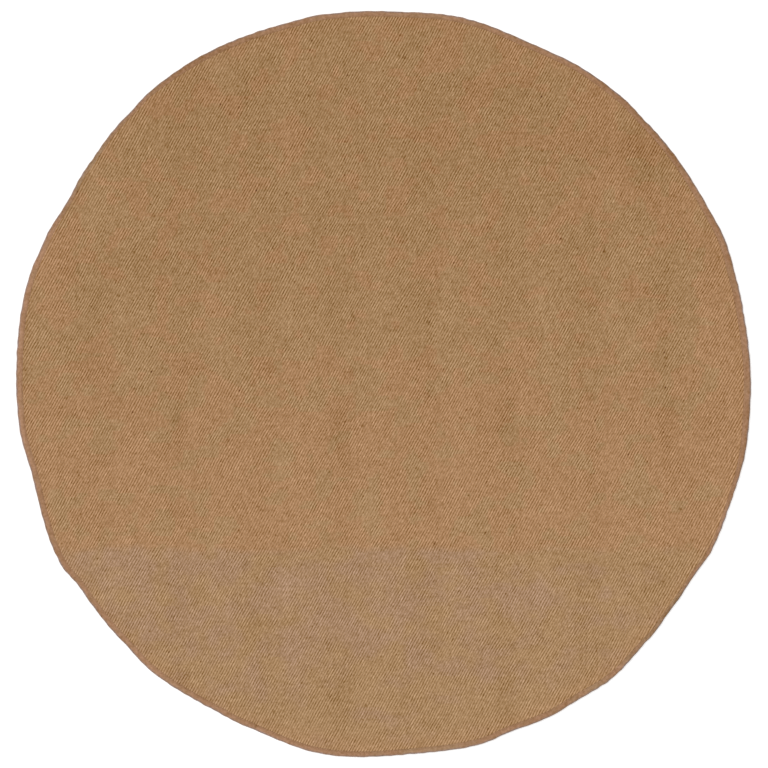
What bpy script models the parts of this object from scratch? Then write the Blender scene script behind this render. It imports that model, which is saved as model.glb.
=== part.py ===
"""Round jute rug, 1.5 m across: a disc of thick twill-woven jute with a narrow tape folded over its cut edge.

Metres, +Z up. The rug lies flat with its underside at z = 0. The origin is on the floor under the middle of
the rug's bounding box, and +Y points to the top of the rug as it is seen from above.
"""

import bisect
import math
from collections import namedtuple

import bmesh
import bpy
import numpy as np

MM = 0.001

# Driving dimensions, in metres
MEAN_RADIUS = 750 * MM
CLOTH_THICKNESS = 5.0 * MM
PRESSED_THICKNESS = 3.0 * MM  # the cloth where the folded tape squeezes it
PRESS_SLOPE = 1.5 * MM  # the width over which the cloth thins down to go into the tape
TAPE_THICKNESS = 0.9 * MM
TAPE_FACE = 12.0 * MM  # the tape's usual width seen from above
FIT_GAP = 0.3 * MM  # between the cloth and the tape

# Worked out from them
EDGE_THICKNESS = PRESSED_THICKNESS + 2 * (FIT_GAP + TAPE_THICKNESS)
FOLD_RADIUS = EDGE_THICKNESS / 2
FOLD_REACH = MEAN_RADIUS - FOLD_RADIUS  # where the tape starts to turn over the edge
SEAM_REACH = MEAN_RADIUS - TAPE_FACE  # the tape's inner edge, on both faces of the rug

# Fineness of the facets
STEPS_AROUND = 240
TAPE_FOLD_SIDES = 4
INNER_FOLD_SIDES = 3
SHARP_EDGE_DEG = 40
MERGE_DISTANCE = FIT_GAP / 100

# The edge was cut by eye and is puckered by its tape, so it wanders in and out of the mean circle. Each row
# is a place where it turns back or levels off: its bearing, clockwise from +Y, and how far outside the circle
# it lies there.
EdgeTurn = namedtuple("EdgeTurn", "bearing_deg outward_mm")
EDGE_TURNS = tuple(
    EdgeTurn(*row)
    for row in (
        (2, 2.4),
        (11.5, 6.8),
        (24, -0.4),
        (33, 3.9),
        (40, 3.7),
        (45, -0.3),
        (61, -3.3),
        (67, -0.3),
        (74, -5.2),
        (80, -7.4),
        (94, -5.7),
        (101, -3.5),
        (109, -6.0),
        (117, -3.3),
        (122.5, -9.5),
        (128, -8.2),
        (134, -2.4),
        (143, 7.3),
        (149, 4.0),
        (153, 6.2),
        (160, 2.8),
        (165, 8.8),
        (175, 4.9),
        (189, 13.0),
        (202, 0.8),
        (208, -2.2),
        (219, 1.3),
        (225, -4.4),
        (236, -6.8),
        (240.5, 1.4),
        (255.5, -12.7),
        (263, -5.6),
        (270, -4.7),
        (286, 0.4),
        (293, -4.0),
        (300, -11.0),
        (305, -6.6),
        (316, 1.2),
        (322, 7.5),
        (329, 8.8),
        (346, 5.0),
        (349, 7.0),
        (354, 4.8),
    )
)

# The tape was folded over by hand too, so it shows more on some sides than on others. Each row is a bearing,
# clockwise from +Y, and the tape's width there, seen from above.
TapeWidth = namedtuple("TapeWidth", "bearing_deg width_mm")
TAPE_WIDTHS = tuple(
    TapeWidth(*row)
    for row in (
        (0, 11.0),
        (50, 12.0),
        (75, 14.0),
        (92, 14.0),
        (113, 7.5),
        (128, 7.5),
        (150, 12.0),
        (180, 11.0),
        (225, 12.0),
        (270, 13.0),
        (288, 12.0),
        (303, 8.0),
        (316, 8.0),
        (330, 12.0),
    )
)

# Colours are linear RGB
Finish = namedtuple("Finish", "colour roughness")
CLOTH_FINISH = Finish((0.384, 0.222, 0.108), 0.95)
TAPE_FINISH = Finish((0.362, 0.207, 0.109), 0.90)


def eased(rows, bearing_deg):
    """The value that rows of bearing and value give at a bearing, eased from each row to the next."""
    after = bisect.bisect_right([row[0] for row in rows], bearing_deg)
    start, start_value = rows[after - 1]
    end, end_value = rows[after % len(rows)]
    share = (bearing_deg - start) % 360 / ((end - start) % 360)
    return start_value + (1 - math.cos(math.pi * share)) / 2 * (end_value - start_value)


def fold_arc(radius, sides):
    """Half a turn round the edge, from the underside to the top, as (reach, height) pairs."""
    angles = np.linspace(0, math.pi, sides + 1)
    return [(FOLD_REACH + radius * math.sin(a), FOLD_RADIUS - radius * math.cos(a)) for a in angles]


def tape_section():
    """The folded tape cut across: round the outside from the underside to the top, and back inside."""
    outside = [
        (SEAM_REACH, 0),
        *fold_arc(FOLD_RADIUS, TAPE_FOLD_SIDES),
        (SEAM_REACH, EDGE_THICKNESS),
    ]
    inside = [
        (SEAM_REACH, TAPE_THICKNESS),
        *fold_arc(FOLD_RADIUS - TAPE_THICKNESS, INNER_FOLD_SIDES),
        (SEAM_REACH, EDGE_THICKNESS - TAPE_THICKNESS),
    ]
    return outside + inside[::-1]


def cloth_section():
    """The cloth cut from its middle to its edge: full and flat as far as the tape, and pressed inside it."""
    pressed_reach = SEAM_REACH - FIT_GAP
    full_reach = pressed_reach - PRESS_SLOPE
    underside = [
        (0, 0),
        (full_reach / 2, 0),
        (full_reach, 0),
        (pressed_reach, TAPE_THICKNESS + FIT_GAP),
    ]
    top = [
        (pressed_reach, EDGE_THICKNESS - TAPE_THICKNESS - FIT_GAP),
        (full_reach, CLOTH_THICKNESS),
        (full_reach / 2, CLOTH_THICKNESS),
        (0, CLOTH_THICKNESS),
    ]
    return underside + fold_arc(PRESSED_THICKNESS / 2, INNER_FOLD_SIDES) + top


def turn(section, closed):
    """A bmesh of the section turned about the Z axis, with its faces pointing out."""
    work = bmesh.new()
    verts = [work.verts.new((reach, 0, height)) for reach, height in section]
    edges = [work.edges.new(pair) for pair in zip(verts, verts[1:])]
    if closed:
        edges.append(work.edges.new((verts[-1], verts[0])))
    bmesh.ops.spin(
        work,
        geom=verts + edges,
        axis=(0, 0, 1),
        cent=(0, 0, 0),
        angle=2 * math.pi,
        steps=STEPS_AROUND,
        use_merge=True,
    )
    bmesh.ops.remove_doubles(work, verts=work.verts, dist=MERGE_DISTANCE)
    bmesh.ops.recalc_face_normals(work, faces=work.faces)
    return work


def wander(work):
    """Carries a turned round shape out to the real edge, keeping the fold and the seam true to it."""
    for vert in work.verts:
        reach = vert.co.xy.length
        if reach == 0:
            continue
        bearing_deg = math.degrees(math.atan2(vert.co.x, vert.co.y)) % 360
        edge = MEAN_RADIUS + eased(EDGE_TURNS, bearing_deg) * MM
        seam = edge - eased(TAPE_WIDTHS, bearing_deg) * MM
        plain = (0, SEAM_REACH, FOLD_REACH, MEAN_RADIUS)
        real = (0, seam, edge - FOLD_RADIUS, edge)
        vert.co.xy *= np.interp(reach, plain, real) / reach


def box_middle(work):
    """The middle of a shape's bounding box, seen from above."""
    places = np.array([vert.co.xy for vert in work.verts])
    return (places.min(axis=0) + places.max(axis=0)) / 2


def make_material(name, finish):
    material = bpy.data.materials.new(name)
    material.use_nodes = True
    shader = material.node_tree.nodes["Principled BSDF"]
    shader.inputs["Base Color"].default_value = (*finish.colour, 1)
    shader.inputs["Roughness"].default_value = finish.roughness
    shader.inputs["Metallic"].default_value = 0
    return material


def make_object(name, work, material):
    mesh = bpy.data.meshes.new(name)
    work.to_mesh(mesh)
    work.free()
    mesh.materials.append(material)
    mesh.shade_smooth()
    mesh.set_sharp_from_angle(angle=math.radians(SHARP_EDGE_DEG))
    made = bpy.data.objects.new(name, mesh)
    bpy.context.scene.collection.objects.link(made)
    return made


def clear_scene():
    for old in list(bpy.data.objects):
        bpy.data.objects.remove(old, do_unlink=True)


def main():
    clear_scene()
    cloth = turn(cloth_section(), closed=False)
    tape = turn(tape_section(), closed=True)
    for work in (cloth, tape):
        wander(work)
    middle = box_middle(tape)
    for work in (cloth, tape):
        bmesh.ops.translate(work, verts=work.verts, vec=(-middle[0], -middle[1], 0))
    make_object("rug_cloth", cloth, make_material("woven_jute", CLOTH_FINISH))
    make_object("edge_binding", tape, make_material("binding_tape", TAPE_FINISH))


main()
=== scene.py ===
"""How the round jute rug looks: its ribbed twill cloth, the tape round its edge and the seam that holds it.

Run as a script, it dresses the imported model, one operator for each piece. Metres, +Z up, with the rug's
underside at z = 0 and +Y towards the top of the picture.
"""

import math
from collections import namedtuple

import bmesh
import bpy
import numpy as np
from bpy.props import FloatProperty, FloatVectorProperty, IntProperty, PointerProperty
from mathutils import Matrix, Vector


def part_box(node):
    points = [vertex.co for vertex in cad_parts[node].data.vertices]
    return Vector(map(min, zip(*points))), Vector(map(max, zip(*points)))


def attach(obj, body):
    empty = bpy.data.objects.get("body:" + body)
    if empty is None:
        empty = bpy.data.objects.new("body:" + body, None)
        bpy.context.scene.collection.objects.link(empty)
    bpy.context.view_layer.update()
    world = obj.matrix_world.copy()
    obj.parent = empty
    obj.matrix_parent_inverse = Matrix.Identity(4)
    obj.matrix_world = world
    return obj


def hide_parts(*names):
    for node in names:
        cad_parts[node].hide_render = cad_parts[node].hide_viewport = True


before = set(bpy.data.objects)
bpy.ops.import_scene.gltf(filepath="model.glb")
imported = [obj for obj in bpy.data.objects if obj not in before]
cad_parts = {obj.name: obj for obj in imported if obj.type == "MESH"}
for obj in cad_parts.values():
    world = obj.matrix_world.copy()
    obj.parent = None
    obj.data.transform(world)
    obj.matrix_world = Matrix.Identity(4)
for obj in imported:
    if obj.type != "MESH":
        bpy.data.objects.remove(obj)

bl_info = {
    "name": "Round jute rug",
    "version": (1, 0, 0),
    "blender": (4, 5, 0),
    "location": "3D View > Sidebar > Jute rug",
    "description": "Weaves, binds and sews a round jute rug, and sets it on a pale floor",
    "category": "Object",
}

MM = 0.001
CLOTH_NODE = "rug_cloth"
TAPE_NODE = "edge_binding"
WEAVE_MAP = "weave"  # where a point of the cloth lies on the loom, in metres
TAPE_MAP = "tape"  # how far along and across the tape a point lies, in metres
BAKE_MAP = "OFBake"

CLOTH_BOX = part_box(CLOTH_NODE)
TAPE_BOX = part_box(TAPE_NODE)
EDGE_THICKNESS = TAPE_BOX[1].z - TAPE_BOX[0].z
MIDDLE_HEIGHT = (TAPE_BOX[0].z + TAPE_BOX[1].z) / 2  # where the edge reaches furthest out
FOLD_RADIUS = EDGE_THICKNESS / 2
MERGE_DISTANCE = 0.03 * MM
FULL_TURN = 2 * math.pi


# ---------------- sizes and colours


def length(name, description, default, **limits):
    return FloatProperty(
        name=name, description=description, default=default, subtype="DISTANCE", unit="LENGTH", **limits
    )


def colour(name, description, default):
    return FloatVectorProperty(
        name=name, description=description, default=default, subtype="COLOR", size=3, min=0, max=1
    )


def amount(name, description, default, **limits):
    return FloatProperty(name=name, description=description, default=default, **limits)


class ClothSettings(bpy.types.PropertyGroup):
    end_pitch: length("End pitch", "Distance from one warp yarn to the next", 1.43 * MM, min=0.5 * MM)
    pick_pitch: length("Pick pitch", "Distance from one weft yarn to the next", 2.63 * MM, min=0.5 * MM)
    thickness: length("Thickness", "From the ribs of one face to the ribs of the other", 5.2 * MM)
    relief: length("Rib relief", "Height of a rib above the groove beside it", 0.95 * MM, min=0)
    groove_width: length("Groove width", "Width of the groove between two ribs", 1.4 * MM, min=0.1 * MM)
    drift: length("Drift", "How far the ribs wander from straight, on average", 1.0 * MM, min=0)
    unevenness: length("Unevenness", "How much a rib's height varies, on average", 0.08 * MM, min=0)
    stations: IntProperty(name="Stations", description="Steps along each rib", default=34, min=8)
    seed: IntProperty(name="Seed", description="Draws another drift and unevenness", default=7)
    khaki: colour("Khaki", "The greener of the two jutes in the yarn", (0.381, 0.222, 0.1015))
    rust: colour("Rust", "The redder of the two jutes in the yarn", (0.401, 0.2167, 0.100))
    faded: colour("Faded", "The greyer jute in the lower third", (0.376, 0.220, 0.120))


class BindingSettings(bpy.types.PropertyGroup):
    thickness: length("Thickness", "Thickness of the tape", 0.9 * MM, min=0.2 * MM)
    seam_inset: length("Seam inset", "From the tape's inner edge to the seam", 2.5 * MM, min=0.5 * MM)
    crease_depth: length("Crease depth", "How deep the seam pulls the tape in", 0.2 * MM, min=0)
    pucker: length("Pucker", "How high the tape rises between tight places", 0.25 * MM, min=0)
    warm: colour("Warm", "The browner colour of the tape", (0.380, 0.201, 0.106))
    olive: colour("Olive", "The greener colour of the tape", (0.345, 0.205, 0.104))
    # painted shade on the outer rim of the tape's fold
    fold_shade: colour("Shaded fold", "The tape's colour where its fold is scuffed", (0.258, 0.168, 0.131))


class SeamSettings(bpy.types.PropertyGroup):
    stitch_pitch: length("Stitch pitch", "Distance from one stitch to the next", 5.0 * MM, min=1 * MM)
    stitch_length: length("Stitch length", "The part of a stitch that shows", 4.3 * MM, min=1 * MM)
    thread: length("Thread", "Diameter of the sewing thread", 0.62 * MM, min=0.1 * MM)
    tone: colour("Thread", "The thread's colour", (0.365, 0.204, 0.108))


class StageSettings(bpy.types.PropertyGroup):
    floor_tone: colour("Floor", "The floor's colour", (0.82, 0.82, 0.82))
    floor_glow: amount("Floor glow", "Light that the floor gives off by itself", 0.35, min=0)
    sky: amount("Sky", "Strength of the soft light from all round", 0.80, min=0)
    key: amount("Key", "Strength of the soft light from the upper left", 1.1, min=0)
    key_height: amount("Key height", "That light's height as an angle", math.radians(45), subtype="ANGLE")
    camera_height: length("Camera height", "The camera's height above the rug", 6.0)
    view_width: length("View width", "Width of floor that the picture takes in", 1.556)
    view_side: length("View side", "How far right of the origin the picture is centred", 1.0 * MM)


# ---------------- the frame's outlines

LEVEL_SLACK = 0.05 * MM  # points this near to a height stand at it
SAME_PLACE_DIGITS = 7  # places that agree to this many decimals of a metre are one
CENTRE_ROUNDS = 4  # each round of the search for the centre comes nearer
FEWEST_KNOWN = 0.95  # packing drops a point or two where an edge is straight


def points_of(node):
    """All of a node's points, a row for each."""
    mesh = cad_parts[node].data
    places = np.empty(len(mesh.vertices) * 3, np.float32)
    mesh.vertices.foreach_get("co", places)
    return places.reshape(-1, 3).astype(float)


def level_points(node, height):
    """A node's points at one height, seen from above, each of them once."""
    places = points_of(node)
    level = places[np.abs(places[:, 2] - height) < LEVEL_SLACK, :2]
    return np.unique(level.round(SAME_PLACE_DIGITS), axis=0)


def own_centre():
    """The point that the rug was turned about, a few millimetres off the origin: its edge's points stand at
    even angles round it."""
    edge = level_points(TAPE_NODE, MIDDLE_HEIGHT)
    centre = np.zeros(2)
    for _ in range(CENTRE_ROUNDS):
        offset = edge - centre
        reach = np.linalg.norm(offset, axis=1)
        angle = np.arctan2(offset[:, 1], offset[:, 0])
        step = FULL_TURN / len(edge)
        miss = np.round(angle / step) * step - angle
        turning = np.stack([offset[:, 1], -offset[:, 0]], axis=1) / (reach**2)[:, None]
        centre = centre + np.linalg.lstsq(turning, miss, rcond=None)[0]
    return centre


CENTRE = own_centre()


class Ring:
    """How far out one ring of the frame's points lies, all the way round, eased between the points."""

    def __init__(self, node, height, outermost=True):
        offset = level_points(node, height) - CENTRE
        reach = np.linalg.norm(offset, axis=1)
        turns = np.arctan2(offset[:, 1], offset[:, 0]) / FULL_TURN
        self.count = len(level_points(TAPE_NODE, MIDDLE_HEIGHT))
        step = np.round(turns * self.count).astype(int) % self.count
        pick = np.maximum if outermost else np.minimum
        self.reach = np.full(self.count, 0.0 if outermost else np.inf)
        pick.at(self.reach, step, reach)
        known = np.isin(np.arange(self.count), step)
        if known.mean() < FEWEST_KNOWN:
            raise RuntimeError(f"{node} has no whole ring of points at a height of {height:.4f} m")
        self.reach = np.interp(
            np.arange(self.count), np.flatnonzero(known), self.reach[known], period=self.count
        )

    def __call__(self, angle):
        """The reach at an angle, by the cubic that runs smoothly through the points on either side."""
        place = np.asarray(angle) / FULL_TURN % 1 * self.count
        step = np.floor(place).astype(int)
        part = place - step
        before, start, end, after = (self.reach[(step + k) % self.count] for k in (-1, 0, 1, 2))
        rise = (end - before) / 2
        leave = (after - start) / 2
        bend = 2 * (start - end) + rise + leave
        turn = 3 * (end - start) - 2 * rise - leave
        return start + part * (rise + part * (turn + part * bend))


EDGE = Ring(TAPE_NODE, MIDDLE_HEIGHT)
SEAM = Ring(TAPE_NODE, TAPE_BOX[1].z, outermost=False)
OPEN_CLOTH = Ring(CLOTH_NODE, CLOTH_BOX[1].z)
MEAN_EDGE = float(EDGE.reach.mean())
MEAN_SEAM = float(SEAM.reach.mean())


def angle_of(place):
    return math.atan2(place[1] - CENTRE[1], place[0] - CENTRE[0])


def around(angle, reach):
    """The point at this reach from the rug's own centre."""
    return CENTRE[0] + reach * np.cos(angle), CENTRE[1] + reach * np.sin(angle)


# ---------------- patterns made of shader nodes

Mark = namedtuple("Mark", "x_mm y_mm half_width_mm half_height_mm tone")
MARK_FULL = 0.2  # a mark has its full tone this far out, as a share of its half size,
MARK_GONE = 1.4  # and has faded away this far out
Noise = namedtuple("Noise", "width_mm height_mm shift detail", defaults=(1.0,))  # the size of its cells
TONE_BALANCE = (0.97, 1.23, 1.85)  # how much a tone changes red, green and blue
DARKEST = (0.02, 0.012, 0.006)
SPECULAR = 0.25


def charted(*rows):
    return tuple(Mark(*row) for row in rows)


def opaque(colour):
    return (*colour, 1.0)


def add_node(tree, kind, inputs, **settings):
    """Adds a node with these settings. Its inputs go by name or number: signals and sockets are linked, and
    plain numbers are set."""
    node = tree.nodes.new(kind)
    for name, value in settings.items():
        setattr(node, name, value)
    feed(tree, node, inputs)
    return node


def feed(tree, node, inputs):
    for name, value in inputs.items():
        source = value.socket if isinstance(value, Signal) else value
        if isinstance(source, bpy.types.NodeSocket):
            tree.links.new(source, node.inputs[name])
        else:
            node.inputs[name].default_value = source


def new_material(name, inputs):
    """A material, its node tree, and its shader with these inputs."""
    material = bpy.data.materials.new(name)
    material.use_nodes = True
    shader = material.node_tree.nodes["Principled BSDF"]
    feed(material.node_tree, shader, inputs)
    return material, material.node_tree, shader


def maths(operation):
    """A method of signals that adds one Math node."""
    return lambda signal, *others: signal.calc(operation, *others)


class Signal:
    """One number of a pattern. Its arithmetic adds Math nodes, so that a pattern reads as a formula."""

    __add__ = maths("ADD")
    __sub__ = maths("SUBTRACT")
    __mul__ = maths("MULTIPLY")
    __truediv__ = maths("DIVIDE")
    power = maths("POWER")
    floor = maths("FLOOR")
    size = maths("ABSOLUTE")
    wrapped = maths("FLOORED_MODULO")
    cosine = maths("COSINE")
    larger = maths("MAXIMUM")
    over = maths("GREATER_THAN")

    def __init__(self, tree, socket):
        self.tree = tree
        self.socket = socket

    def calc(self, operation, *others):
        inputs = dict(enumerate((self, *others)))
        node = add_node(self.tree, "ShaderNodeMath", inputs, operation=operation)
        return Signal(self.tree, node.outputs[0])

    def __rsub__(self, other):
        return self * -1.0 + other

    def ramp(self, low, high, start=0.0, end=1.0):
        """Start below low, end above high, and a smooth step between them."""
        inputs = dict(enumerate((self, low, high, start, end)))
        node = add_node(self.tree, "ShaderNodeMapRange", inputs, interpolation_type="SMOOTHSTEP")
        return Signal(self.tree, node.outputs[0])


class Pattern:
    """A new material's nodes, with its shader ready to be fed."""

    def __init__(self, name, roughness, sheen=0.0):
        inputs = {"Metallic": 0.0, "Specular IOR Level": SPECULAR, "Roughness": roughness}
        inputs["Sheen Weight"] = sheen
        self.material, self.tree, self.shader = new_material(name, inputs)

    def parts(self, vector):
        split = add_node(self.tree, "ShaderNodeSeparateXYZ", {0: vector})
        return tuple(Signal(self.tree, out) for out in split.outputs)

    def on_map(self, name):
        """Across and up on one of the piece's own maps."""
        return self.parts(add_node(self.tree, "ShaderNodeUVMap", {}, uv_map=name).outputs[0])[:2]

    def on_object(self):
        return self.parts(add_node(self.tree, "ShaderNodeTexCoord", {}).outputs["Object"])

    def joined(self, x, y):
        return add_node(self.tree, "ShaderNodeCombineXYZ", {0: x, 1: y}).outputs[0]

    def noise(self, x, y, shift, detail=0.0):
        """Soft noise about zero, mostly within 1, over cells one unit wide."""
        inputs = {"Vector": self.joined(x + shift, y), "Scale": 1.0, "Detail": detail}
        node = add_node(self.tree, "ShaderNodeTexNoise", inputs, noise_dimensions="2D")
        return Signal(self.tree, node.outputs[0]) * 4.0 - 2.0

    def grain(self, x, y, noise):
        """Soft noise on the piece, with the cells that the noise's row gives."""
        return self.noise(x / (noise.width_mm * MM), y / (noise.height_mm * MM), noise.shift, noise.detail)

    def specks(self, x, y):
        """The distance to the nearest speck, in cells, and a random number from 0 to 1 for that speck."""
        inputs = {"Vector": self.joined(x, y), "Scale": 1.0}
        node = add_node(self.tree, "ShaderNodeTexVoronoi", inputs, voronoi_dimensions="2D", feature="F1")
        return Signal(self.tree, node.outputs["Distance"]), self.parts(node.outputs["Color"])[0]

    def blend(self, share, first, second):
        """A colour between two colours."""
        inputs = {0: share, 6: first, 7: second}
        return add_node(self.tree, "ShaderNodeMix", inputs, data_type="RGBA", clamp_factor=True).outputs[2]

    def vectors(self, operation, inputs, output=0):
        return add_node(self.tree, "ShaderNodeVectorMath", inputs, operation=operation).outputs[output]

    def marks(self, x, y, rows):
        """Soft oval marks, added up. Their tones are in hundredths."""
        place = self.joined(x, y)
        total = 0.0
        for mark in rows:
            half_size = np.array([mark.half_width_mm, mark.half_height_mm])
            scale = (*(1 / MM / half_size), 0)
            shift = (*(-np.array([mark.x_mm, mark.y_mm]) / half_size), 0)
            fitted = self.vectors("MULTIPLY_ADD", {0: place, 1: scale, 2: shift})
            near = Signal(self.tree, self.vectors("LENGTH", {0: fitted}, "Value"))
            total = near.ramp(MARK_FULL, MARK_GONE, mark.tone / 100, 0.0) + total
        return total

    def paint(self, colour, tone):
        """Lays on a colour, made lighter or darker by tone, a share of its red. Jute goes browner as it
        darkens, so its green changes more than its red and its blue more than either."""
        change = self.vectors("SCALE", {0: TONE_BALANCE, "Scale": tone})
        toned = self.vectors("MULTIPLY_ADD", {0: change, 1: colour, 2: colour})
        lit = self.vectors("MAXIMUM", {0: toned, 1: DARKEST})
        feed(self.tree, self.shader, {"Base Color": lit})

    def emboss(self, height, depth):
        """Raises the surface by the signal times depth, in metres."""
        bump = add_node(self.tree, "ShaderNodeBump", {"Strength": 1.0, "Distance": depth, "Height": height})
        feed(self.tree, self.shader, {"Normal": bump.outputs[0]})


# ---------------- the cloth

RIB = 4  # a rib of the twill takes four ends, and four picks
CREST = 0.5  # ends less picks, from one rib to the next, where the rib is highest
GROOVE = CREST + RIB / 2
BANK_SHARE = 0.75  # how much of the relief the steep bank of a groove takes
OUTLINE_STEPS = 14400
LINE_INSET = 0.3 * MM  # the first rib line lies at least this far inside the outline
DRIFT_WAVES = (0.12, 0.5)  # the shortest and the longest of the ribs' wanderings, in metres
DRIFT_WAVE_COUNT = 14
DRIFT_FADE = 0.06  # the ribs run straight this near the edge, in metres
PRESS_WIDTH = 4.0 * MM  # ribs that run along the tape are pressed flat this far from it
PRESS_SHARE = 0.8  # how much of their relief goes
ALONGSIDE = 0.8  # 1 where the ribs run along the tape: from here they begin to be pressed
ALONGSIDE_RISE = 0.15  # and this much further they are pressed fully
PRESSED_THICKNESS = 3.0 * MM
SHOULDER = 0.06 * MM  # the cloth keeps its height to this close before the tape
SHOULDER_DROP = 0.15 * MM
SEAM_GAP = 0.02 * MM
BAKE_MARGIN = 15 * MM


class Loom:
    """The twill's directions: across its ribs, and along them."""

    def __init__(self, cloth):
        slope = np.array([1 / cloth.end_pitch, -1 / cloth.pick_pitch])
        self.ends_per_metre = float(np.linalg.norm(slope))
        self.across = slope / self.ends_per_metre
        self.along = np.array([-self.across[1], self.across[0]])
        self.rib_pitch = RIB / self.ends_per_metre

    def grooves(self, low, high):
        """Where the grooves between two places lie, measured across the ribs."""
        first = math.ceil((low * self.ends_per_metre - GROOVE) / RIB)
        last = math.floor((high * self.ends_per_metre - GROOVE) / RIB)
        return (np.arange(first, last + 1) * RIB + GROOVE) / self.ends_per_metre

    def ridge(self, across, cloth):
        """How high the cloth stands at a place across the ribs: 0 in a groove and 1 on a crest."""
        phase = (across * self.ends_per_metre - GROOVE) % RIB / RIB
        bank = cloth.groove_width / 2 / self.rib_pitch
        return np.interp(phase, (0, bank, 0.5, 1 - bank, 1), (0, BANK_SHARE, 1, BANK_SHARE, 0))


class Chords:
    """Where straight lines along the ribs meet the outline of the open cloth."""

    def __init__(self, loom):
        angle = np.linspace(0, FULL_TURN, OUTLINE_STEPS, endpoint=False)
        places = np.stack(around(angle, OPEN_CLOTH(angle)), axis=1)
        self.across = places @ loom.across
        self.along = places @ loom.along
        self.low = float(self.across.min())
        self.high = float(self.across.max())
        start, end = sorted((int(self.across.argmin()), int(self.across.argmax())))
        one = np.arange(start, end + 1)
        other = np.r_[np.arange(end, OUTLINE_STEPS), np.arange(0, start + 1)]
        self.first, self.last = self.low + LINE_INSET, self.high - LINE_INSET
        for side in (one, other):
            self.clear(self.across[side] if self.across[side[0]] < 0 else self.across[side][::-1])
        self.sides = [self.rising(side) for side in (one, other)]
        self.sides.sort(key=lambda side: side[1].mean())

    def clear(self, across):
        """Keeps the rib lines off the two ends of a side where the outline turns back, and would cross them
        again. The side is given from its low end to its high end."""
        furthest = np.maximum.accumulate(across)
        back = across < furthest
        low = across < 0
        self.first = max(self.first, furthest[back & low].max(initial=self.first))
        self.last = min(self.last, across[back & ~low].min(initial=self.last))

    def rising(self, side):
        order = np.argsort(self.across[side], kind="stable")
        return self.across[side][order], self.along[side][order]

    def ends(self, across):
        """The lowest and the highest place along a rib at which it lies on the open cloth."""
        return tuple(np.interp(across, *side) for side in self.sides)

    def bulge(self, across, along):
        """How far across the outline lies beyond a chord, at places along it."""
        beyond = self.across < across if across < (self.low + self.high) / 2 else self.across > across
        order = np.argsort(self.along[beyond])
        return np.interp(along, self.along[beyond][order], self.across[beyond][order])


def wavy(places, waves, rng):
    """Smooth random values for places in the plane, about 1 on average, made of waves of these lengths."""
    value = np.zeros(places.shape[:-1])
    for wavelength in np.geomspace(*waves, DRIFT_WAVE_COUNT):
        heading = rng.uniform(0, FULL_TURN)
        phase = rng.uniform(0, FULL_TURN)
        way = places @ np.array([math.cos(heading), math.sin(heading)])
        value += np.sin(FULL_TURN * way / wavelength + phase) * math.sqrt(wavelength)
    return value / value.std()


def cloth_places(cloth, loom):
    """Three grids of points, a column for each line along a rib: on the loom, on the rug, and how high."""
    chords = Chords(loom)
    grooves = loom.grooves(chords.low, chords.high)
    bank = cloth.groove_width / 2
    lines = np.concatenate([grooves, grooves - bank, grooves + bank, grooves - loom.rib_pitch / 2])
    lines = np.unique(lines.round(SAME_PLACE_DIGITS))
    lines = lines[(lines > chords.first) & (lines < chords.last)]
    share = np.linspace(0, 1, cloth.stations + 1)
    low, high = chords.ends(lines)
    along = low[:, None] + share * (high - low)[:, None]
    across = np.repeat(lines[:, None], len(share), axis=1)
    for end in (0, -1):
        across[end] = chords.bulge(lines[end], along[end])
        across[end][[0, -1]] = lines[end]
    loom_places = across[..., None] * loom.across + along[..., None] * loom.along

    rng = np.random.default_rng(cloth.seed)
    offset = loom_places - CENTRE
    reach = np.linalg.norm(offset, axis=-1)
    angle = np.arctan2(offset[..., 1], offset[..., 0])
    inside = OPEN_CLOTH(angle) - reach
    fade = np.clip(inside / DRIFT_FADE, 0, 1)
    drift = cloth.drift * wavy(loom_places, DRIFT_WAVES, rng) * fade
    rug_places = loom_places + drift[..., None] * loom.across

    rise = loom.ridge(across, cloth)
    uneven = cloth.unevenness * rng.normal(size=across.shape) * rise
    alongside = np.clip((np.abs(offset @ loom.across) / reach - ALONGSIDE) / ALONGSIDE_RISE, 0, 1)
    pressed = np.clip(1 - inside / PRESS_WIDTH, 0, 1) * alongside
    height = cloth.thickness - cloth.relief * (1 - rise) * (1 - PRESS_SHARE * pressed) - np.abs(uneven)
    return loom_places, rug_places, height


def pressed_rings(cloth):
    """The cloth in the tape, from its open edge to the middle of its cut edge: rings of reach and height."""
    pressed = cloth.thickness / 2 + PRESSED_THICKNESS / 2
    return (
        (lambda angle: SEAM(angle) - SHOULDER, cloth.thickness - SHOULDER_DROP),
        (lambda angle: SEAM(angle) - SEAM_GAP, pressed),
        (lambda angle: EDGE(angle) - FOLD_RADIUS, pressed),
        (lambda angle: EDGE(angle) - FOLD_RADIUS + PRESSED_THICKNESS / 2, cloth.thickness / 2),
    )


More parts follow.
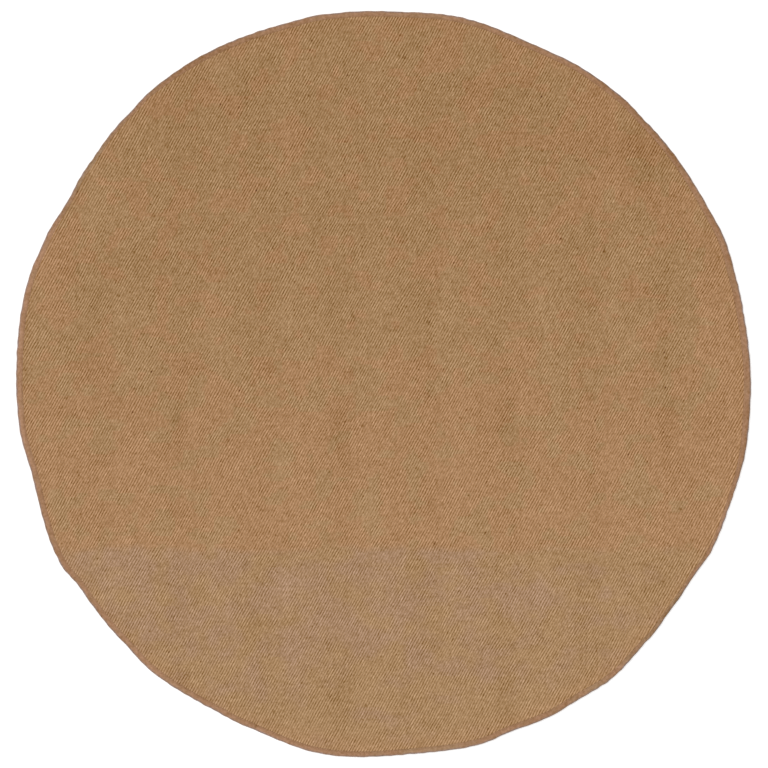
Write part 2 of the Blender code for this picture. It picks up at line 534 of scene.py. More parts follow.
def weave_cloth(cloth):
    """The cloth as a mesh: its upper half, on a grid of rib lines, let into the tape and mirrored down."""
    loom = Loom(cloth)
    loom_places, rug_places, height = cloth_places(cloth, loom)
    work = bmesh.new()
    on_loom = work.verts.layers.float_vector.new("on_loom")
    last_column, last_row = (count - 1 for count in height.shape)
    bmesh.ops.create_grid(work, x_segments=last_column, y_segments=last_row, size=1.0)
    for vert in work.verts:
        column = round((vert.co.x + 1) / 2 * last_column)
        row = round((vert.co.y + 1) / 2 * last_row)
        vert.co = (*rug_places[column, row], height[column, row])
        vert[on_loom] = (*loom_places[column, row], 0)
    rim = [edge for edge in work.edges if edge.is_boundary]
    for reach, level in pressed_rings(cloth):
        grown = bmesh.ops.extrude_edge_only(work, edges=rim)["geom"]
        rim = [part for part in grown if isinstance(part, bmesh.types.BMEdge)]
        for vert in (part for part in grown if isinstance(part, bmesh.types.BMVert)):
            angle = angle_of(vert.co)
            vert.co = (*around(angle, reach(angle)), level)
            vert[on_loom] = (vert.co.x, vert.co.y, 0)
    half = Vector((0, 0, cloth.thickness / 2))
    bmesh.ops.translate(work, verts=work.verts, vec=-half)
    everything = work.verts[:] + work.edges[:] + work.faces[:]
    bmesh.ops.mirror(work, geom=everything, matrix=Matrix(), merge_dist=MERGE_DISTANCE, axis="Z")
    bmesh.ops.translate(work, verts=work.verts, vec=half)
    bmesh.ops.recalc_face_normals(work, faces=work.faces)
    weave_map = work.loops.layers.uv.new(WEAVE_MAP)
    bake_map = work.loops.layers.uv.new(BAKE_MAP)
    across = 2 * (MEAN_EDGE + BAKE_MARGIN)
    for face in work.faces:
        for loop in face.loops:
            place = loop.vert[on_loom]
            loop[weave_map].uv = place.xy
            loop[bake_map].uv = (place.x / across + 0.5, place.y / across + 0.5)
    work.verts.layers.float_vector.remove(on_loom)
    return work


def add_object(name, work, material):
    """Makes a bmesh an object of the scene."""
    mesh = bpy.data.meshes.new(name)
    work.to_mesh(mesh)
    work.free()
    mesh.materials.append(material)
    made = bpy.data.objects.new(name, mesh)
    bpy.context.scene.collection.objects.link(made)
    return made


def add_piece(name, work, material, node=None):
    """Makes a bmesh a piece of the rug, which takes the place of a node where one is given."""
    piece = add_object(name, work, material)
    piece.data.shade_smooth()
    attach(piece, "root")
    if node:
        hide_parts(node)


# The cloth's light and dark marks come back every so often, as yarn off the same cone
REPEAT_WIDTH = 331.5 * MM
REPEAT_HEIGHT = 559.2 * MM
REPEAT_LEFT = -644.3 * MM
REPEAT_FOOT = -303.4 * MM
REPEAT_MARKS = charted(
    (226, 233, 21, 52, -7), (230, 175, 12, 28, -4), (237, 266, 12, 16, -3.5), (83, 332, 16, 12, -7),
    (240, 333, 20, 12, -4.5), (51, 375, 24, 44, -3), (61, 468, 28, 34, -3), (32, 494, 12, 12, -4.5),
    (186, 495, 10, 10, -5.5), (148, 486, 12, 10, -2.5), (212, 462, 18, 28, -2.5), (213, 397, 16, 26, -3),
    (199, 340, 12, 12, -2.5), (67, 286, 16, 16, -2.5), (164, 280, 10, 10, -3), (71, 170, 12, 20, -4),
    (230, 48, 18, 12, -4.5), (73, 48, 18, 14, -4.5), (111, 456, 22, 48, 5), (300, 456, 18, 50, 3.5),
    (36, 286, 10, 20, 3.5), (115, 138, 32, 24, 4), (158, 377, 18, 16, 3), (128, 326, 16, 14, 3),
    (152, 261, 18, 12, 2.5), (261, 245, 10, 60, 1.8), (152, 60, 16, 16, 2), (253, 395, 24, 40, 1.8),
    (166, 333, 200, 3, -5), (166, 495, 200, 3, -4),
)
REPEAT_FADES = (250 * MM, 370 * MM)  # above this the repeat all but stops
RUG_MARKS = charted(
    (521, 473, 50, 95, -9), (196, 605, 75, 28, -3.5), (115, 433, 65, 80, -2.5), (34, 321, 22, 42, -3.5),
    (-472, 240, 120, 36, -3.5), (-584, 392, 36, 90, 7), (-690, 255, 34, 60, 6),
    (490, -388, 110, 44, -3), (521, -287, 75, 26, 2), (687, 98, 40, 85, 4), (673, -74, 32, 42, -3.5),
    (-87, 514, 32, 100, 2.5), (227, 493, 22, 85, 2.5), (-340, 291, 52, 70, -2), (328, -327, 24, 24, -3.5),
    (245, -72, 18, 48, -3.5), (-600, 285, 60, 55, 5), (-590, -390, 60, 60, 4), (215, 460, 26, 95, -5),
    (330, 545, 32, 42, -5.5), (305, 622, 36, 32, -4.5), (15, 495, 34, 34, -4.5), (-230, 625, 26, 22, -4),
    (-300, 562, 24, 22, -4), (-360, 612, 40, 22, -3), (165, 634, 24, 18, -4),
    (195, 590, 24, 32, -3.5), (-375, 470, 60, 70, -2.2), (350, 425, 70, 60, -2.2),
    (-132, 288, 18, 32, -3.5), (28, 285, 16, 28, -4), (655, 300, 30, 55, -3.5), (-632, 232, 22, 40, -4.5),
    (-530, 420, 30, 30, 4.5), (-548, 355, 32, 28, 4), (-408, 245, 24, 24, 4), (-425, 342, 48, 26, 3),
    (-280, 345, 65, 24, 2.5), (455, 372, 36, 46, 4.5), (570, 322, 30, 26, 4.5), (390, 458, 20, 20, 4),
    (85, 365, 40, 32, 3), (133, 215, 20, 34, 3.5), (275, 210, 16, 24, 3.5), (468, 212, 22, 30, 3.5),
    (-140, 692, 60, 20, 2.5),
)
KNOT_COUNT = 30
KNOT_SEED = 5
KNOT_REACH = 700  # mm from the middle
KNOT_HALF_SIZE = (4.0, 3.5)  # mm
KNOT_TONE = -30
SLACK_MARKS = charted(  # places where the yarns lie slack and the painted shade of the grooves all but goes
    (-547, -28, 5, 410, -90), (-385, -191, 5, 170, -90), (-209, -195, 5, 620, -90),
    (-26, -241, 5, 560, -75), (115, -140, 5, 575, -90), (271, -89, 5, 82, -90), (450, -90, 5, 550, -90),
    (622, 47, 5, 250, -75), (-245, 341, 450, 5, -90), (470, 361, 90, 5, -75), (-467, -327, 120, 5, -90),
    (-153, -277, 260, 5, -90), (207, -347, 115, 5, -75), (394, -266, 170, 5, -75),
)
RUST_MARKS = charted(  # places where the redder jute is thicker or thinner
    (745, 40, 110, 340, 130), (450, 440, 150, 120, 75), (-680, 260, 90, 90, 55), (-520, 400, 60, 50, 35),
    (-90, 640, 110, 60, -40), (90, 690, 110, 60, 60), (240, 620, 120, 60, 45), (-150, 130, 300, 90, -30),
    (330, 200, 160, 100, -25),
)
FADED_MARKS = charted(  # places in the lower third where the greyer jute is thicker or thinner
    (420, -350, 220, 16, -90), (-240, -352, 190, 14, -45), (290, -590, 170, 32, 55),
    (-110, -530, 150, 26, 25), (320, -450, 90, 60, 35),
)
STREAK_PITCH = REPEAT_WIDTH / 2
STREAK_PLACE = -588 * MM  # where one of the dark streaks up the cloth runs
CROSS_WAVE = (215.0, 87.0)  # waves a metre, across and up: the fainter lines that lean the other way
RUST_BEGINS = 100 * MM  # the redder yarn thickens from this height down to the next
RUST_FULL = -95 * MM
LOT_EDGE = -345 * MM  # below this the cloth is woven of another lot of yarn
LOT_EDGE_WIDTH = 20 * MM
LOT_EDGE_WANDER = 8 * MM
FADED_HEIGHTS = (-680 * MM, -470 * MM)  # the other lot grows greyer from the first up to the second
FADED_SIDE = 450 * MM  # and less grey from the middle to this far right
EDGE_REACH = (700 * MM, 742 * MM)  # the cloth turns redder from the first of these out to the second

# The cloth's noises
SHAKE = Noise(24, 24, 901.0)  # shifts the ribs a little
FADE = Noise(15, 15, 31.0)  # the painted shade in the grooves comes and goes
TENSION = Noise(48, 48, 211.0)  # and is weaker in broad places
# painted highlights on the rib crests come and go over these cells
CREST_HIGHLIGHT = Noise(6, 6, 617.0, 0.0)
BROAD_PATCH = Noise(78, 66, 301.0)
SMALL_PATCH = Noise(40, 30, 401.0)
LOT_EDGE_NOISE = Noise(60, 400, 501.0)
DASH_LENGTH = 7 * MM  # along a rib
DASHES_PER_RIB = 1.2
SLUB_LENGTH = 45 * MM  # of the yarns' thicker and thinner stretches
SLUBS_PER_YARN = 0.7
SPECK_CELL = 36 * MM
SPECK_CHANCE = 0.28
SPECK_SIZE = (0.03, 0.08)  # full and gone this far out, in cells
WAVER = (5 * MM, 6 * MM)  # how far the marks stray, across and up

# How much each of them lightens or darkens the jute
# painted light and shade across the ribs: darker in the grooves, lighter on the crests, and painted
# highlights on some crests
GROOVE_SHADE_TONE = 0.236
CREST_HIGHLIGHT_TONE = 0.21
DASH_TONE = 0.055
JUTE_TONES = {Noise(5.5, 5.5, 57.0): 0.13, Noise(17, 17, 91.0): 0.06, Noise(60, 75, 133.0): 0.025}
SLUB_TONE = 0.025
YARN_SHADE_TONE = 0.12
CROSS_TONE = 0.03
SPECK_TONE = -0.28
STREAK_TONE = 0.012
EVEN_TONE = 0.017  # taken off all over, for the painted crest highlights
SECOND_LOT_TONE = 0.011
SHADE_HEIGHTS = (-420 * MM, 580 * MM)  # the cloth darkens from the first of these up to the second
SHADE_TONES = (0.049, -0.040)
YARN_RELIEF = 0.35 * MM


def yarn_heights(ends, picks, end, pick):
    """How high the yarn on top stands. Each passes over two and under two, and the higher one shows."""
    end_round = 1.0 - (ends - end - 0.5).power(2.0) * 2.4
    pick_round = 1.0 - (picks - pick - 0.5).power(2.0) * 2.4
    end_rise = (((picks - end + 2.0).wrapped(RIB) - 2.0) * (math.pi / 2)).cosine()
    pick_rise = (((ends - pick - 1.0).wrapped(RIB) - 2.0) * (math.pi / 2)).cosine()
    return (end_rise * 0.5 + end_round).larger(pick_rise * 0.5 + pick_round)


def jute_colour(pattern, cloth, x, y):
    """The jute's colour, in patches that follow the yarns, and where the second lot of yarn shows."""
    block_x = (x / cloth.end_pitch / 4.0).floor() * (4 * cloth.end_pitch)
    block_y = (y / cloth.pick_pitch / 3.0).floor() * (3 * cloth.pick_pitch)
    patch = pattern.grain(block_x, block_y, BROAD_PATCH)
    patch = patch + pattern.grain(block_x, block_y, SMALL_PATCH) * 0.55
    rusty = patch + y.ramp(RUST_FULL, RUST_BEGINS, 0.42, -0.30) + pattern.marks(x, y, RUST_MARKS)
    upper = pattern.blend(rusty.ramp(-0.2, 0.2), opaque(cloth.khaki), opaque(cloth.rust))
    fading = patch * 0.75 + y.ramp(*FADED_HEIGHTS, -0.75, 0.06) + x.ramp(0.0, FADED_SIDE, 0.1, -0.4)
    fading = fading + pattern.marks(x, y, FADED_MARKS)
    lower = pattern.blend(fading.ramp(-0.75, 0.75), opaque(cloth.khaki), opaque(cloth.faded))
    lot_edge = y + pattern.grain(block_x, y, LOT_EDGE_NOISE) * LOT_EDGE_WANDER
    second_lot = lot_edge.ramp(LOT_EDGE, LOT_EDGE + LOT_EDGE_WIDTH, 1.0, 0.0)
    reach = (x * x + y * y).power(0.5)
    inner = pattern.blend(second_lot, upper, lower)
    return pattern.blend(reach.ramp(*EDGE_REACH, 0.0, 0.45), inner, opaque(cloth.rust)), second_lot


def rib_tone(pattern, rib_place, along, x, y, fade, slack):
    """The ribs' painted light and shade: painted shade in the grooves, which comes and goes, painted light
    on the crests with painted highlights on some of them, and short dashes.
    """
    turn = rib_place * FULL_TURN
    rib = turn.cosine() - (turn * 2.0).cosine() * 0.2
    tension = pattern.grain(x, y, TENSION).ramp(-1.1, 0.5, 0.5, 1.18)
    groove_shade = ((fade * 0.4 + 1.0).larger(0.1) * tension * (slack + 1.0)).larger(0.06)
    dash = pattern.noise(rib_place * DASHES_PER_RIB, along / DASH_LENGTH, shift=5.0, detail=1.0)
    crest = rib.larger(0.0) * pattern.grain(x, y, CREST_HIGHLIGHT).larger(0.0)
    cross = ((x * CROSS_WAVE[0] + y * CROSS_WAVE[1]) * FULL_TURN).cosine() * (fade * 0.5 - 0.5).larger(-1.0)
    # painted shade in the grooves and painted light on the crests
    tone = rib * groove_shade * GROOVE_SHADE_TONE + dash * DASH_TONE - EVEN_TONE
    return tone + crest * CREST_HIGHLIGHT_TONE + cross * CROSS_TONE


def fibre_tone(pattern, end, pick, x, y):
    """The jute's own soft light and dark, the slubs in its yarns and its dark specks."""
    end_slub = pattern.noise(end * SLUBS_PER_YARN, y / SLUB_LENGTH, shift=77.0)
    pick_slub = pattern.noise(x / SLUB_LENGTH, pick * SLUBS_PER_YARN, shift=151.0)
    tone = (end_slub + pick_slub) * SLUB_TONE
    for noise, noise_tone in JUTE_TONES.items():
        tone = tone + pattern.grain(x, y, noise) * noise_tone
    near, chance = pattern.specks(x / SPECK_CELL, y / SPECK_CELL)
    return tone + near.ramp(*SPECK_SIZE, SPECK_TONE, 0.0) * chance.over(1 - SPECK_CHANCE)


def scattered_knots():
    """Dark knots in the yarn, strewn evenly over the cloth."""
    rng = np.random.default_rng(KNOT_SEED)
    reaches = KNOT_REACH * np.sqrt(rng.random(KNOT_COUNT))
    bearings = FULL_TURN * rng.random(KNOT_COUNT)
    places = zip(reaches * np.cos(bearings), reaches * np.sin(bearings))
    return charted(*((*place, *KNOT_HALF_SIZE, KNOT_TONE) for place in places))


def jute_twill(cloth):
    """The twill's finish: its yarns, the grooves between its ribs and the jute's uneven colour."""
    loom = Loom(cloth)
    pattern = Pattern("jute_twill", roughness=0.92, sheen=0.1)
    x, y = pattern.on_map(WEAVE_MAP)
    ends, picks = x / cloth.end_pitch, y / cloth.pick_pitch
    end, pick = ends.floor(), picks.floor()
    along = x * float(loom.along[0]) + y * float(loom.along[1])
    yarn = yarn_heights(ends, picks, end, pick)
    shake, fade = pattern.grain(x, y, SHAKE), pattern.grain(x, y, FADE)
    rib_place = (ends - picks - CREST) / RIB + shake * 0.10
    wavy_x, wavy_y = x + fade * WAVER[0], y + shake * WAVER[1]
    slack = pattern.marks(wavy_x, wavy_y, SLACK_MARKS)
    tone = rib_tone(pattern, rib_place, along, x, y, fade, slack) + fibre_tone(pattern, end, pick, x, y)
    # painted shade on the yarns: the lower a yarn lies, the darker it is painted
    tone = tone + (yarn - 1.2) * YARN_SHADE_TONE

    repeat_x = (wavy_x - REPEAT_LEFT).wrapped(REPEAT_WIDTH)
    repeat_y = (wavy_y - REPEAT_FOOT).wrapped(REPEAT_HEIGHT)
    tone = tone + pattern.marks(repeat_x, repeat_y, REPEAT_MARKS) * y.ramp(*REPEAT_FADES, 1.0, 0.2)
    tone = tone + pattern.marks(wavy_x, wavy_y, RUG_MARKS) + pattern.marks(x, y, scattered_knots())
    tone = tone - ((x - STREAK_PLACE) * (FULL_TURN / STREAK_PITCH)).cosine() * STREAK_TONE
    jute, second_lot = jute_colour(pattern, cloth, x, y)
    pattern.paint(jute, tone + y.ramp(*SHADE_HEIGHTS, *SHADE_TONES) + second_lot * SECOND_LOT_TONE)
    pattern.emboss(yarn, YARN_RELIEF)
    return pattern.material


# ---------------- shapes that run round the rug


def turn_of(place):
    """How far round the Z axis a point lies, from 0 to 1."""
    return math.atan2(place[1], place[0]) / FULL_TURN % 1


SECTORS = 24


def turn_round(work, steps, duplicate=False):
    """Turns all of a shape once round the Z axis: one sector first, and then that sector, which is quicker
    than one long spin. It leaves a ring, or with duplicate a copy at each step."""
    centre = {"axis": (0, 0, 1), "cent": (0, 0, 0)}
    sector = FULL_TURN / SECTORS
    in_sector = steps // SECTORS - duplicate
    shape = work.verts[:] + work.edges[:] + work.faces[:]
    angle = in_sector * FULL_TURN / steps
    bmesh.ops.spin(work, geom=shape, angle=angle, steps=in_sector, use_duplicate=duplicate, **centre)
    shape = work.verts[:] + work.edges[:] + work.faces[:]
    angle = FULL_TURN - sector
    bmesh.ops.spin(work, geom=shape, angle=angle, steps=SECTORS - 1, use_duplicate=True, **centre)
    if not duplicate:
        bmesh.ops.remove_doubles(work, verts=work.verts, dist=MERGE_DISTANCE)
    bmesh.ops.recalc_face_normals(work, faces=work.faces)


def carry_out(work, shift=None):
    """Takes a shape turned round the origin at the rug's mean size out to the frame's own seam and edge."""
    fold = MEAN_EDGE - FOLD_RADIUS
    places = np.array([vert.co for vert in work.verts])
    reach = np.linalg.norm(places[:, :2], axis=1)
    angle = np.arctan2(places[:, 1], places[:, 0])
    seam, edge = SEAM(angle), EDGE(angle)
    share = np.clip((reach - MEAN_SEAM) / (fold - MEAN_SEAM), 0, 1)
    real = reach + (seam - MEAN_SEAM) * (1 - share) + (edge - MEAN_EDGE) * share
    if shift is not None:
        move_out, rise = shift(angle, places[:, 2], share)
        real += move_out
        places[:, 2] += rise
    places[:, 0], places[:, 1] = around(angle, real)
    for vert, place in zip(work.verts, places):
        vert.co = place


def ripple(angle, waves, rng):
    """A smooth random value round the rug, about 1 on average, made of whole waves."""
    value = sum(np.sin(count * angle + rng.uniform(0, FULL_TURN)) for count in waves)
    return value / math.sqrt(len(waves) / 2)


# ---------------- the binding tape

TAPE_STEPS = 2400
FOLD_SIDES = 8
INNER_SIDES = 3
CREASE_WIDTH = 1.6 * MM
SELVEDGE = 0.25 * MM  # the small round of the tape's inner edges
PUCKER_WAVES = range(230, 520, 14)
WOBBLE_WAVES = range(60, 240, 11)
BAKE_ROWS = 12  # the tape's whole length takes this many rows of its bake map
OUTSIDE_SHARE = 0.85  # how much of a row the outside of the tape takes
ROW_GAP = 0.04
TAPE_SEED = 11
HUMP_RANGE = (-1.5, 1)  # the puckers' waves are cut off outside this
Pinch = namedtuple("Pinch", "bearing_deg half_width_mm depth_mm")
PINCHES = (  # places where the tape is gathered in a small fold; bearings are clockwise from +Y
    Pinch(15.5, 4, 0.3),
    Pinch(137.5, 5, 0.3),
    Pinch(200.5, 3, 0.5),
    Pinch(213.3, 4, 0.5),
    Pinch(239.0, 4, 0.4),
)


def arc(radius, sides):
    """Half a turn round the fold, from the underside to the top, as points of reach and height."""
    reach = MEAN_EDGE - FOLD_RADIUS
    return [
        (reach + radius * math.sin(turn), FOLD_RADIUS - radius * math.cos(turn))
        for turn in np.linspace(0, math.pi, sides + 1)
    ]


def turned_over(points):
    return [(reach, EDGE_THICKNESS - height) for reach, height in reversed(points)]


def tape_section(tape):
    """The folded tape cut across at the rug's mean size: its outside going up, its inside going down."""
    crease = MEAN_SEAM + tape.seam_inset
    face = [
        (MEAN_SEAM, SELVEDGE),
        (MEAN_SEAM + SELVEDGE, 0),
        (crease - CREASE_WIDTH, 0),
        (crease, tape.crease_depth),
        (crease + CREASE_WIDTH, 0),
        ((crease + MEAN_EDGE - FOLD_RADIUS) / 2, 0),
    ]
    lining = [(MEAN_SEAM, tape.thickness)]
    outside = face + arc(FOLD_RADIUS, FOLD_SIDES) + turned_over(face)
    inside = lining + arc(FOLD_RADIUS - tape.thickness, INNER_SIDES) + turned_over(lining)
    return outside, inside[::-1]


def fold_tape(tape):
    """The tape as a mesh, and the width of its outside."""
    outside, inside = tape_section(tape)
    section = outside + inside
    lengths = [math.dist(*pair) for pair in zip(section, section[1:] + section[:1])]
    runs = np.r_[0, np.cumsum(lengths)]
    width, whole = runs[len(outside) - 1], runs[-1]

    work = bmesh.new()
    run = work.verts.layers.float.new("run")
    verts = [work.verts.new((reach, 0, height)) for reach, height in section]
    for vert, place in zip(verts, runs):
        vert[run] = place
    for pair in zip(verts, verts[1:] + verts[:1]):
        work.edges.new(pair)
    turn_round(work, TAPE_STEPS)

    tape_map = work.loops.layers.uv.new(TAPE_MAP)
    bake_map = work.loops.layers.uv.new(BAKE_MAP)
    round_the_rug = FULL_TURN * MEAN_EDGE
    for face in work.faces:
        step = math.floor(turn_of(face.calc_center_median()) * TAPE_STEPS)
        row = step * BAKE_ROWS // TAPE_STEPS
        places = [vert[run] for vert in face.verts]
        closes = max(places) > whole / 2 and min(places) == 0
        for loop in face.loops:
            ahead = round(turn_of(loop.vert.co) * TAPE_STEPS - step) % TAPE_STEPS
            along = (step + ahead) / TAPE_STEPS
            across = whole if closes and loop.vert[run] == 0 else loop.vert[run]
            in_row = np.interp(across, (0, width, whole), (ROW_GAP, OUTSIDE_SHARE, 1 - ROW_GAP))
            loop[tape_map].uv = (along * round_the_rug, across)
            loop[bake_map].uv = (along * BAKE_ROWS - row, (row + in_row) / BAKE_ROWS)
    work.verts.layers.float.remove(run)

    rng = np.random.default_rng(TAPE_SEED)
    crease_share = tape.seam_inset / (MEAN_EDGE - FOLD_RADIUS - MEAN_SEAM)

    def puckered(angle, height, share):
        beyond = np.clip((share - crease_share) / (1 - crease_share), 0, 1)
        hump = np.sin(math.pi * beyond) ** 2 * np.clip(height / FOLD_RADIUS - 1, 0, 1)
        rise = tape.pucker * (np.clip(ripple(angle, PUCKER_WAVES, rng), *HUMP_RANGE) - 1)
        for pinch in PINCHES:
            turned = (angle - math.radians(90 - pinch.bearing_deg) + math.pi) % FULL_TURN - math.pi
            rise -= pinch.depth_mm * MM * np.exp(-((turned * MEAN_EDGE / MM / pinch.half_width_mm) ** 2))
        wobble = tape.pucker * ripple(angle, WOBBLE_WAVES, rng) * beyond
        return wobble, rise * hump

    carry_out(work, puckered)
    return work, width


TAPE_SOIL_AND_PINCH_SHADE = charted(  # places where the tape is soiled or rubbed pale, and painted shade in its small pinched folds
    (737, 52, 22, 62, -5), (742, 30, 5, 6, 16), (500, -546, 30, 30, -7), (-258, -689, 5, 8, -30),
    (-401, -611, 7, 7, -24), (-350, 655, 40, 28, -4), (195, 722, 12, 10, -10),
)
RIM_SOIL_AND_LIGHT = charted(  # the outer half of the tape: partly painted light and shade, lighter at the left and low down as if lit from the lower left, partly soiling
    (91, 739, 70, 70, 4), (279, 691, 60, 60, -7), (499, 554, 140, 140, -14), (686, 291, 80, 80, -10),
    (739, -91, 80, 80, -9), (691, -279, 60, 60, 4), (595, -448, 70, 70, -7), (459, -587, 70, 70, 5),
    (104, -738, 90, 90, 12), (-180, -723, 160, 100, 11), (-448, -595, 70, 70, 10),
    (-738, -80, 100, 120, 12), (-715, 210, 100, 130, 12), (-390, 634, 130, 130, -12), (-742, 70, 60, 60, 5),
    (600, 460, 70, 70, -10), (600, -451, 60, 60, -11),
)
INNER_SOIL_AND_LIGHT = charted(  # the inner half of the tape: partly painted light that eases the shade of the seam's groove, partly soiling
    (527, 527, 190, 190, -5), (720, 193, 90, 90, -5), (738, -104, 70, 70, 3), (459, -587, 70, 70, 6),
    (104, -738, 70, 70, 8), (-193, -720, 100, 100, -3), (-527, -527, 130, 130, 8), (-691, 279, 80, 80, 8),
    (-315, 675, 130, 130, -11), (-599, 451, 80, 80, 19), (695, -281, 70, 70, 14), (-700, 262, 60, 60, 4),
    (375, 645, 100, 100, -4), (600, -451, 60, 60, 5),
)
OLIVE_MARKS = charted(  # the places where the tape is greener
    (571, -479, 110, 110, 80), (420, -610, 80, 80, 50), (104, -738, 110, 110, 60), (-595, 448, 90, 90, 90),
    (60, 742, 60, 60, 40),
)


# The tape's noises, and its bands as distances from the middle of its fold
BLOTCH = Noise(24, 24, 611.0, 2.0)
GRAIN = Noise(6, 6, 641.0)
STREAK = Noise(9, 3, 17.0)
OLIVE = Noise(30, 30, 711.0, 0.0)
TAPE_WEFT_PITCH = 0.9 * MM
TAPE_WARP_PITCH = 0.7 * MM
TAPE_RELIEF = 0.12 * MM
OUTER_HALF = (6.5 * MM, 10.5 * MM)
# painted shade on the fold's outer rim: full out to the first distance from the fold's middle, gone by the
# second
FOLD_SHADE = (3.2 * MM, 6.0 * MM)
CREASE_SHADE_RISES = (9.3 * MM, 11.3 * MM)
CREASE_SHADE_FALLS = (11.8 * MM, 13.4 * MM)
CREASE_SHADE_SIDE = (150 * MM, 600 * MM)  # the painted shade along the seam's crease fades out between these, from left to right


def tape_weave(tape, width):
    """The tape's finish: a close plain weave, with painted shade on the outer rim of its fold and painted
    shade along the seam's crease near its inner edge.
    """
    pattern = Pattern("woven_tape", roughness=0.88, sheen=0.1)
    along, across = pattern.on_map(TAPE_MAP)
    x, y, _ = pattern.on_object()
    from_fold = (across - width / 2).size()
    weft = (along * (FULL_TURN / TAPE_WEFT_PITCH)).cosine()
    warp = (across * (FULL_TURN / TAPE_WARP_PITCH)).cosine()
    thread = weft * 0.6 + warp * 0.4
    blotch = pattern.grain(x, y, BLOTCH)
    tone = thread * 0.05 + blotch * 0.085 + pattern.grain(x, y, GRAIN) * 0.13
    tone = tone + pattern.grain(along, across, STREAK) * 0.06
    outer = from_fold.ramp(*OUTER_HALF, 1.0, 0.0)
    tone = tone + pattern.marks(x, y, TAPE_SOIL_AND_PINCH_SHADE) + pattern.marks(x, y, RIM_SOIL_AND_LIGHT) * outer
    tone = tone + pattern.marks(x, y, INNER_SOIL_AND_LIGHT) * (1.0 - outer)
    # painted shade in the seam's crease near the tape's inner edge, stronger at the left
    crease_shade = from_fold.ramp(*CREASE_SHADE_RISES) * from_fold.ramp(*CREASE_SHADE_FALLS, 1.0, 0.0)
    tone = tone - crease_shade * (blotch * 0.4 + 1.0) * x.ramp(*CREASE_SHADE_SIDE, 0.06, 0.0)
    greener = pattern.marks(x, y, OLIVE_MARKS) + pattern.grain(x, y, OLIVE) * 0.3
    tint = pattern.blend(greener, opaque(tape.warm), opaque(tape.olive))
    # painted shade on the outer rim of the fold, mottled
    shaded = from_fold.ramp(*FOLD_SHADE, 1.0, 0.0) * (blotch * 0.4 + 0.7)
    pattern.paint(pattern.blend(shaded, tint, opaque(tape.fold_shade)), tone)
    pattern.emboss(thread, TAPE_RELIEF)
    return pattern.material


# ---------------- the seam

STITCH_PROUD = 0.1 * MM
STITCH_SLANT = math.radians(7)
STITCH_SIDES = 6
STITCH_RINGS = 6
CELL_GAP = 0.1  # the margin round each stitch on the bake map, as a share of its cell
THREAD_NOISE = Noise(3, 3, 71.0)
PLY_PITCH = 0.8 * MM
PLY_RELIEF = 0.08 * MM


def sew_seam(seam, tape):
    """Both rows of the seam's stitches, one on each face of the rug."""
    reach = MEAN_SEAM + tape.seam_inset
    count = round(FULL_TURN * reach / seam.stitch_pitch / SECTORS) * SECTORS
    sunk = tape.crease_depth - seam.thread / 2 + STITCH_PROUD
    work = bmesh.new()
    bake_map = work.loops.layers.uv.new(BAKE_MAP)
    size = Matrix.Diagonal((seam.thread, seam.stitch_length, seam.thread, 1))
    lay = Matrix.Rotation(STITCH_SLANT, 4, "Z") @ size @ Matrix.Rotation(math.pi / 2, 4, "X")
    for height in (sunk + seam.thread / 2, EDGE_THICKNESS - sunk - seam.thread / 2):
        at_height = Matrix.Translation((reach, 0, height)) @ lay
        bmesh.ops.create_uvsphere(
            work,
            u_segments=STITCH_SIDES,
            v_segments=STITCH_RINGS,
            radius=0.5,
            matrix=at_height,
            calc_uvs=True,
        )
    turn_round(work, count, duplicate=True)
    cells = math.ceil(math.sqrt(2 * count))
    inset = Vector((CELL_GAP, CELL_GAP))
    for face in work.faces:
        middle = face.calc_center_median()
        stitch = round(turn_of(middle) * count) % count + (count if middle.z > FOLD_RADIUS else 0)
        corner = Vector((stitch % cells, stitch // cells))
        for loop in face.loops:
            loop[bake_map].uv = (corner + inset + loop[bake_map].uv * (1 - 2 * CELL_GAP)) / cells
    carry_out(work)
    return work


def sewing_thread(seam):
    """The thread's finish: two plies twisted together."""
    pattern = Pattern("sewing_thread", roughness=0.7)
    x, y, z = pattern.on_object()
    ply = ((x + y * 0.6 + z) * (FULL_TURN / PLY_PITCH)).cosine()
    pattern.paint(tuple(seam.tone), pattern.grain(x, y, THREAD_NOISE) * 0.08 + ply * 0.06)
    pattern.emboss(ply, PLY_RELIEF)
    return pattern.material


# ---------------- one operator for each piece


class RUG_OT_cloth(bpy.types.Operator):
    """Weave the round cloth, with a raised rib for each line of its twill"""

    bl_idname = "jute_rug.cloth"
    bl_label = "Cloth"

    def execute(self, context):
        cloth = context.scene.rug_cloth
        add_piece("cloth", weave_cloth(cloth), jute_twill(cloth), CLOTH_NODE)
        return {"FINISHED"}


class RUG_OT_binding(bpy.types.Operator):
    """Fold the tape over the cloth's cut edge"""

    bl_idname = "jute_rug.binding"
    bl_label = "Binding tape"

    def execute(self, context):
        tape = context.scene.rug_binding
        work, width = fold_tape(tape)
        add_piece("binding", work, tape_weave(tape, width), TAPE_NODE)
        return {"FINISHED"}


class RUG_OT_seam(bpy.types.Operator):
    """Sew the tape to the cloth"""

    bl_idname = "jute_rug.seam"
    bl_label = "Seam"

    def execute(self, context):
        seam = context.scene.rug_seam
        work = sew_seam(seam, context.scene.rug_binding)
        add_piece("seam_stitches", work, sewing_thread(seam))
        return {"FINISHED"}


class RUG_OT_stage(bpy.types.Operator):
    """Set up the pale floor, the soft light and the camera above the rug"""

    bl_idname = "jute_rug.stage"
    bl_label = "Stage"

    def execute(self, context):
        stage = context.scene.rug_stage
        lay_floor(stage)
        light_softly(context.scene, stage)
        aim_camera(context.scene, stage)
        return {"FINISHED"}


FLOOR_HALF_WIDTH = 9.0
FLOOR_GAP = 0.2 * MM  # between the rug and the floor
FLOOR_ROUGHNESS = 0.9
SENSOR_WIDTH = 36.0
KEY_SPREAD = math.radians(25)
KEY_PLACE = (-3, 2, 4)  # only its direction lights the rug


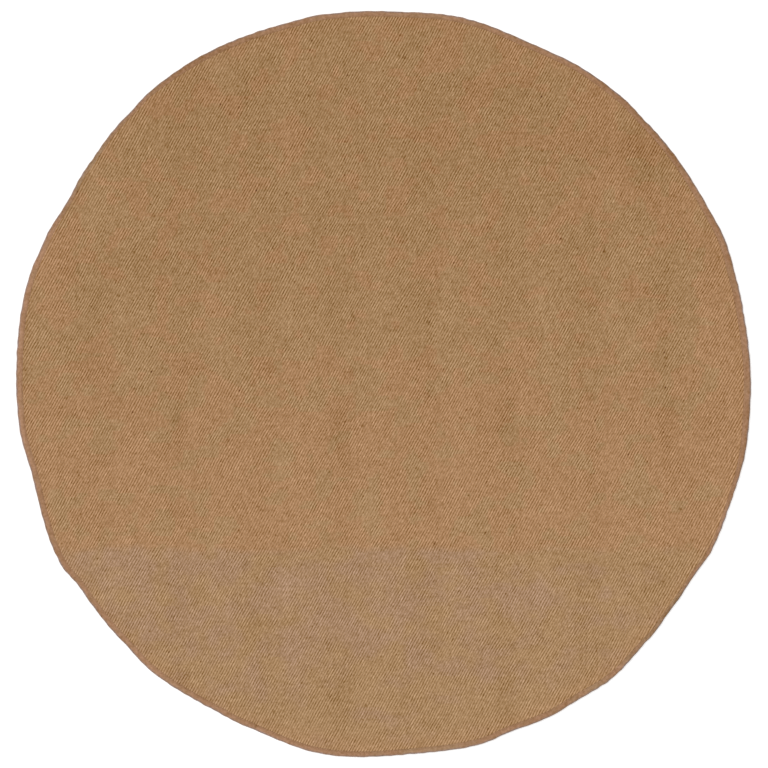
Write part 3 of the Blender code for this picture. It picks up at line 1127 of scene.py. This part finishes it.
def lay_floor(stage):
    work = bmesh.new()
    bmesh.ops.create_grid(work, x_segments=1, y_segments=1, size=FLOOR_HALF_WIDTH)
    bmesh.ops.translate(work, verts=work.verts, vec=(0, 0, -FLOOR_GAP))
    pale = {
        "Base Color": opaque(stage.floor_tone),
        "Roughness": FLOOR_ROUGHNESS,
        "Specular IOR Level": 0.0,
        "Emission Color": opaque((1, 1, 1)),
        "Emission Strength": stage.floor_glow,
    }
    add_object("floor", work, new_material("pale_floor", pale)[0])


def light_softly(scene, stage):
    """Soft light from all round, and one soft lamp that shines across the ribs."""
    world = bpy.data.worlds.new("studio")
    world.use_nodes = True
    light = {"Color": opaque((1, 1, 1)), "Strength": stage.sky}
    feed(world.node_tree, world.node_tree.nodes["Background"], light)
    scene.world = world
    key = bpy.data.lights.new("key", "SUN")
    key.energy = stage.key
    key.angle = KEY_SPREAD
    lamp = bpy.data.objects.new("key", key)
    across = Loom(scene.rug_cloth).across * math.cos(stage.key_height)
    lamp.rotation_euler = Vector((*across, -math.sin(stage.key_height))).to_track_quat("-Z", "Y").to_euler()
    lamp.location = KEY_PLACE
    scene.collection.objects.link(lamp)
    scene.view_settings.view_transform = "Standard"


def aim_camera(scene, stage):
    """Looks straight down, with +Y up the picture."""
    lens = bpy.data.cameras.new("camera")
    lens.sensor_width = SENSOR_WIDTH
    lens.lens = SENSOR_WIDTH * stage.camera_height / stage.view_width
    camera = bpy.data.objects.new("camera", lens)
    camera.location = (stage.view_side, 0, stage.camera_height + CLOTH_BOX[1].z)
    scene.collection.objects.link(camera)
    scene.camera = camera


# ---------------- the add-on


class RUG_PT_panel(bpy.types.Panel):
    bl_label = "Round jute rug"
    bl_space_type = "VIEW_3D"
    bl_region_type = "UI"
    bl_category = "Jute rug"

    def draw(self, context):
        for operator, group, _ in STEPS:
            box = self.layout.box()
            box.operator(operator.bl_idname)
            settings = getattr(context.scene, group)
            for name in settings.bl_rna.properties.keys():
                if name not in ("rna_type", "name"):
                    box.prop(settings, name)


STEPS = (
    (RUG_OT_cloth, "rug_cloth", ClothSettings),
    (RUG_OT_binding, "rug_binding", BindingSettings),
    (RUG_OT_seam, "rug_seam", SeamSettings),
    (RUG_OT_stage, "rug_stage", StageSettings),
)


def register():
    for operator, name, settings in STEPS:
        bpy.utils.register_class(settings)
        setattr(bpy.types.Scene, name, PointerProperty(type=settings))
        bpy.utils.register_class(operator)
    bpy.utils.register_class(RUG_PT_panel)


def unregister():
    bpy.utils.unregister_class(RUG_PT_panel)
    for operator, name, settings in reversed(STEPS):
        bpy.utils.unregister_class(operator)
        delattr(bpy.types.Scene, name)
        bpy.utils.unregister_class(settings)


def cut_size():
    """The cloth as it was cut: its width, its length and its area."""
    angle = np.linspace(0, FULL_TURN, OUTLINE_STEPS, endpoint=False)
    x, y = around(angle, EDGE(angle) - FOLD_RADIUS + PRESSED_THICKNESS / 2)
    area = abs(np.dot(x, np.roll(y, -1)) - np.dot(y, np.roll(x, -1))) / 2
    return (float(np.ptp(x)), float(np.ptp(y))), float(area)


def main():
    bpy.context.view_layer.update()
    register()
    for operator, _, _ in STEPS:
        group, name = operator.bl_idname.split(".")
        getattr(getattr(bpy.ops, group), name)()
    flat, area = cut_size()


if __name__ == "__main__":
    main()
